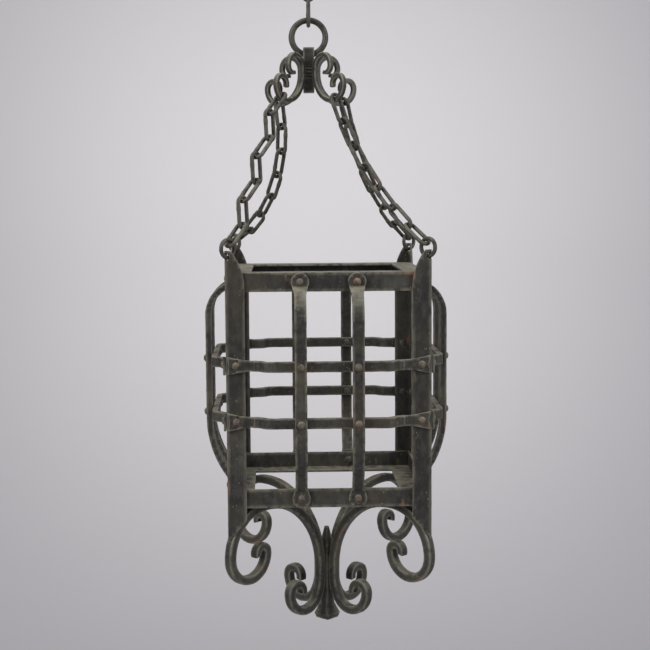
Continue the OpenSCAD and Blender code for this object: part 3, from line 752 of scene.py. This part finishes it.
def paper_with_painted_glow():
    """Pale paper with a painted pool of light: brightest behind the lantern and falling off toward the floor."""
    made = plain("backdrop, pale lilac grey", (0.6, 0.585, 0.6, 1))
    tree = made.node_tree
    skin = tree.nodes["Principled BSDF"]
    where = node(tree, "ShaderNodeTexCoord")
    move = node(tree, "ShaderNodeMapping", vector_type="TEXTURE")
    move.inputs["Location"].default_value = (0.1, 2.2, -0.3)
    move.inputs["Scale"].default_value = (2.1, 2.6, 1.75)
    wire(tree, where.outputs["Object"], move.inputs["Vector"])
    # painted pool of light on the backdrop, brightest in the middle behind the lantern
    glow = node(tree, "ShaderNodeTexGradient", gradient_type="SPHERICAL")
    wire(tree, move.outputs["Vector"], glow.inputs["Vector"])
    fade = node(tree, "ShaderNodeMapRange", interpolation_type="SMOOTHSTEP")
    fade.inputs["From Min"].default_value = 0.1
    fade.inputs["From Max"].default_value = 0.95
    wire(tree, glow.outputs["Fac"], fade.inputs["Value"])
    tone = layer(tree, fade.outputs["Result"], (0.44, 0.43, 0.45, 1), (0.8, 0.775, 0.795, 1))
    wire(tree, tone, skin.inputs["Base Color"])
    return made


def backdrop():
    """A pale floor that sweeps up into a backdrop."""
    bm = bmesh.new()
    start = bmesh.ops.create_grid(bm, x_segments=1, y_segments=1, size=1)["verts"]
    bmesh.ops.scale(bm, vec=(6, 2.4, 1), verts=start)
    bmesh.ops.translate(bm, vec=(0, -1.0, -1.5), verts=start)
    edges = [e for e in bm.edges if all(v.co.y > 1.3 for v in e.verts)]
    for k in range(16):
        grown = bmesh.ops.extrude_edge_only(bm, edges=edges)["geom"]
        verts = [g for g in grown if isinstance(g, bmesh.types.BMVert)]
        edges = [g for g in grown if isinstance(g, bmesh.types.BMEdge)]
        a, b = radians(90 * k / 16), radians(90 * (k + 1) / 16)
        bmesh.ops.translate(bm, verts=verts, vec=(0, sin(b) - sin(a), cos(a) - cos(b)))
    grown = bmesh.ops.extrude_edge_only(bm, edges=edges)["geom"]
    verts = [g for g in grown if isinstance(g, bmesh.types.BMVert)]
    bmesh.ops.translate(bm, verts=verts, vec=(0, 0, 3.5))
    mesh = bpy.data.meshes.new("backdrop")
    bm.to_mesh(mesh)
    bm.free()
    for face in mesh.polygons:
        face.use_smooth = True
    obj = bpy.data.objects.new("backdrop", mesh)
    bpy.context.scene.collection.objects.link(obj)
    mesh.materials.append(paper_with_painted_glow())


backdrop()


def softbox(name, place, aim, size, power, colour):
    light = bpy.data.lights.new(name, "AREA")
    light.shape = "RECTANGLE"
    light.size, light.size_y = size
    light.energy = power
    light.color = colour
    obj = bpy.data.objects.new(name, light)
    obj.location = place
    obj.rotation_euler = (Vector(aim) - Vector(place)).to_track_quat("-Z", "Y").to_euler()
    bpy.context.scene.collection.objects.link(obj)


softbox("softbox left", (-2.4, -1.9, 0.9), (0, 0, -0.5), (1.3, 2.0), 78, (1, 0.99, 0.97))
softbox("softbox right", (2.5, -1.6, 0.5), (0, 0, -0.5), (1.1, 2.0), 52, (0.97, 0.98, 1))
softbox("softbox above", (0, -0.2, 2.3), (0, 0.2, -0.5), (2.4, 2.0), 40, (1, 1, 1))

world = bpy.data.worlds.new("studio")
world.use_nodes = True
bpy.context.scene.world = world
world.node_tree.nodes["Background"].inputs["Color"].default_value = (0.93, 0.93, 0.96, 1)
world.node_tree.nodes["Background"].inputs["Strength"].default_value = 0.3

camera = bpy.data.cameras.new("camera")
camera.sensor_width = 36
camera.sensor_fit = "HORIZONTAL"
camera.lens = 74.48
camera.clip_end = 30
eye = bpy.data.objects.new("camera", camera)
eye.matrix_world = (
    Matrix.Translation((-0.0433, -1.8396, -0.3055))
    @ Matrix.Rotation(radians(-1.96), 4, "Z")
    @ Matrix.Rotation(radians(90 - 5.29), 4, "X")
    @ Matrix.Rotation(radians(-0.39), 4, "Z")
)
bpy.context.scene.collection.objects.link(eye)
bpy.context.scene.camera = eye

bpy.context.scene.view_settings.view_transform = "Standard"
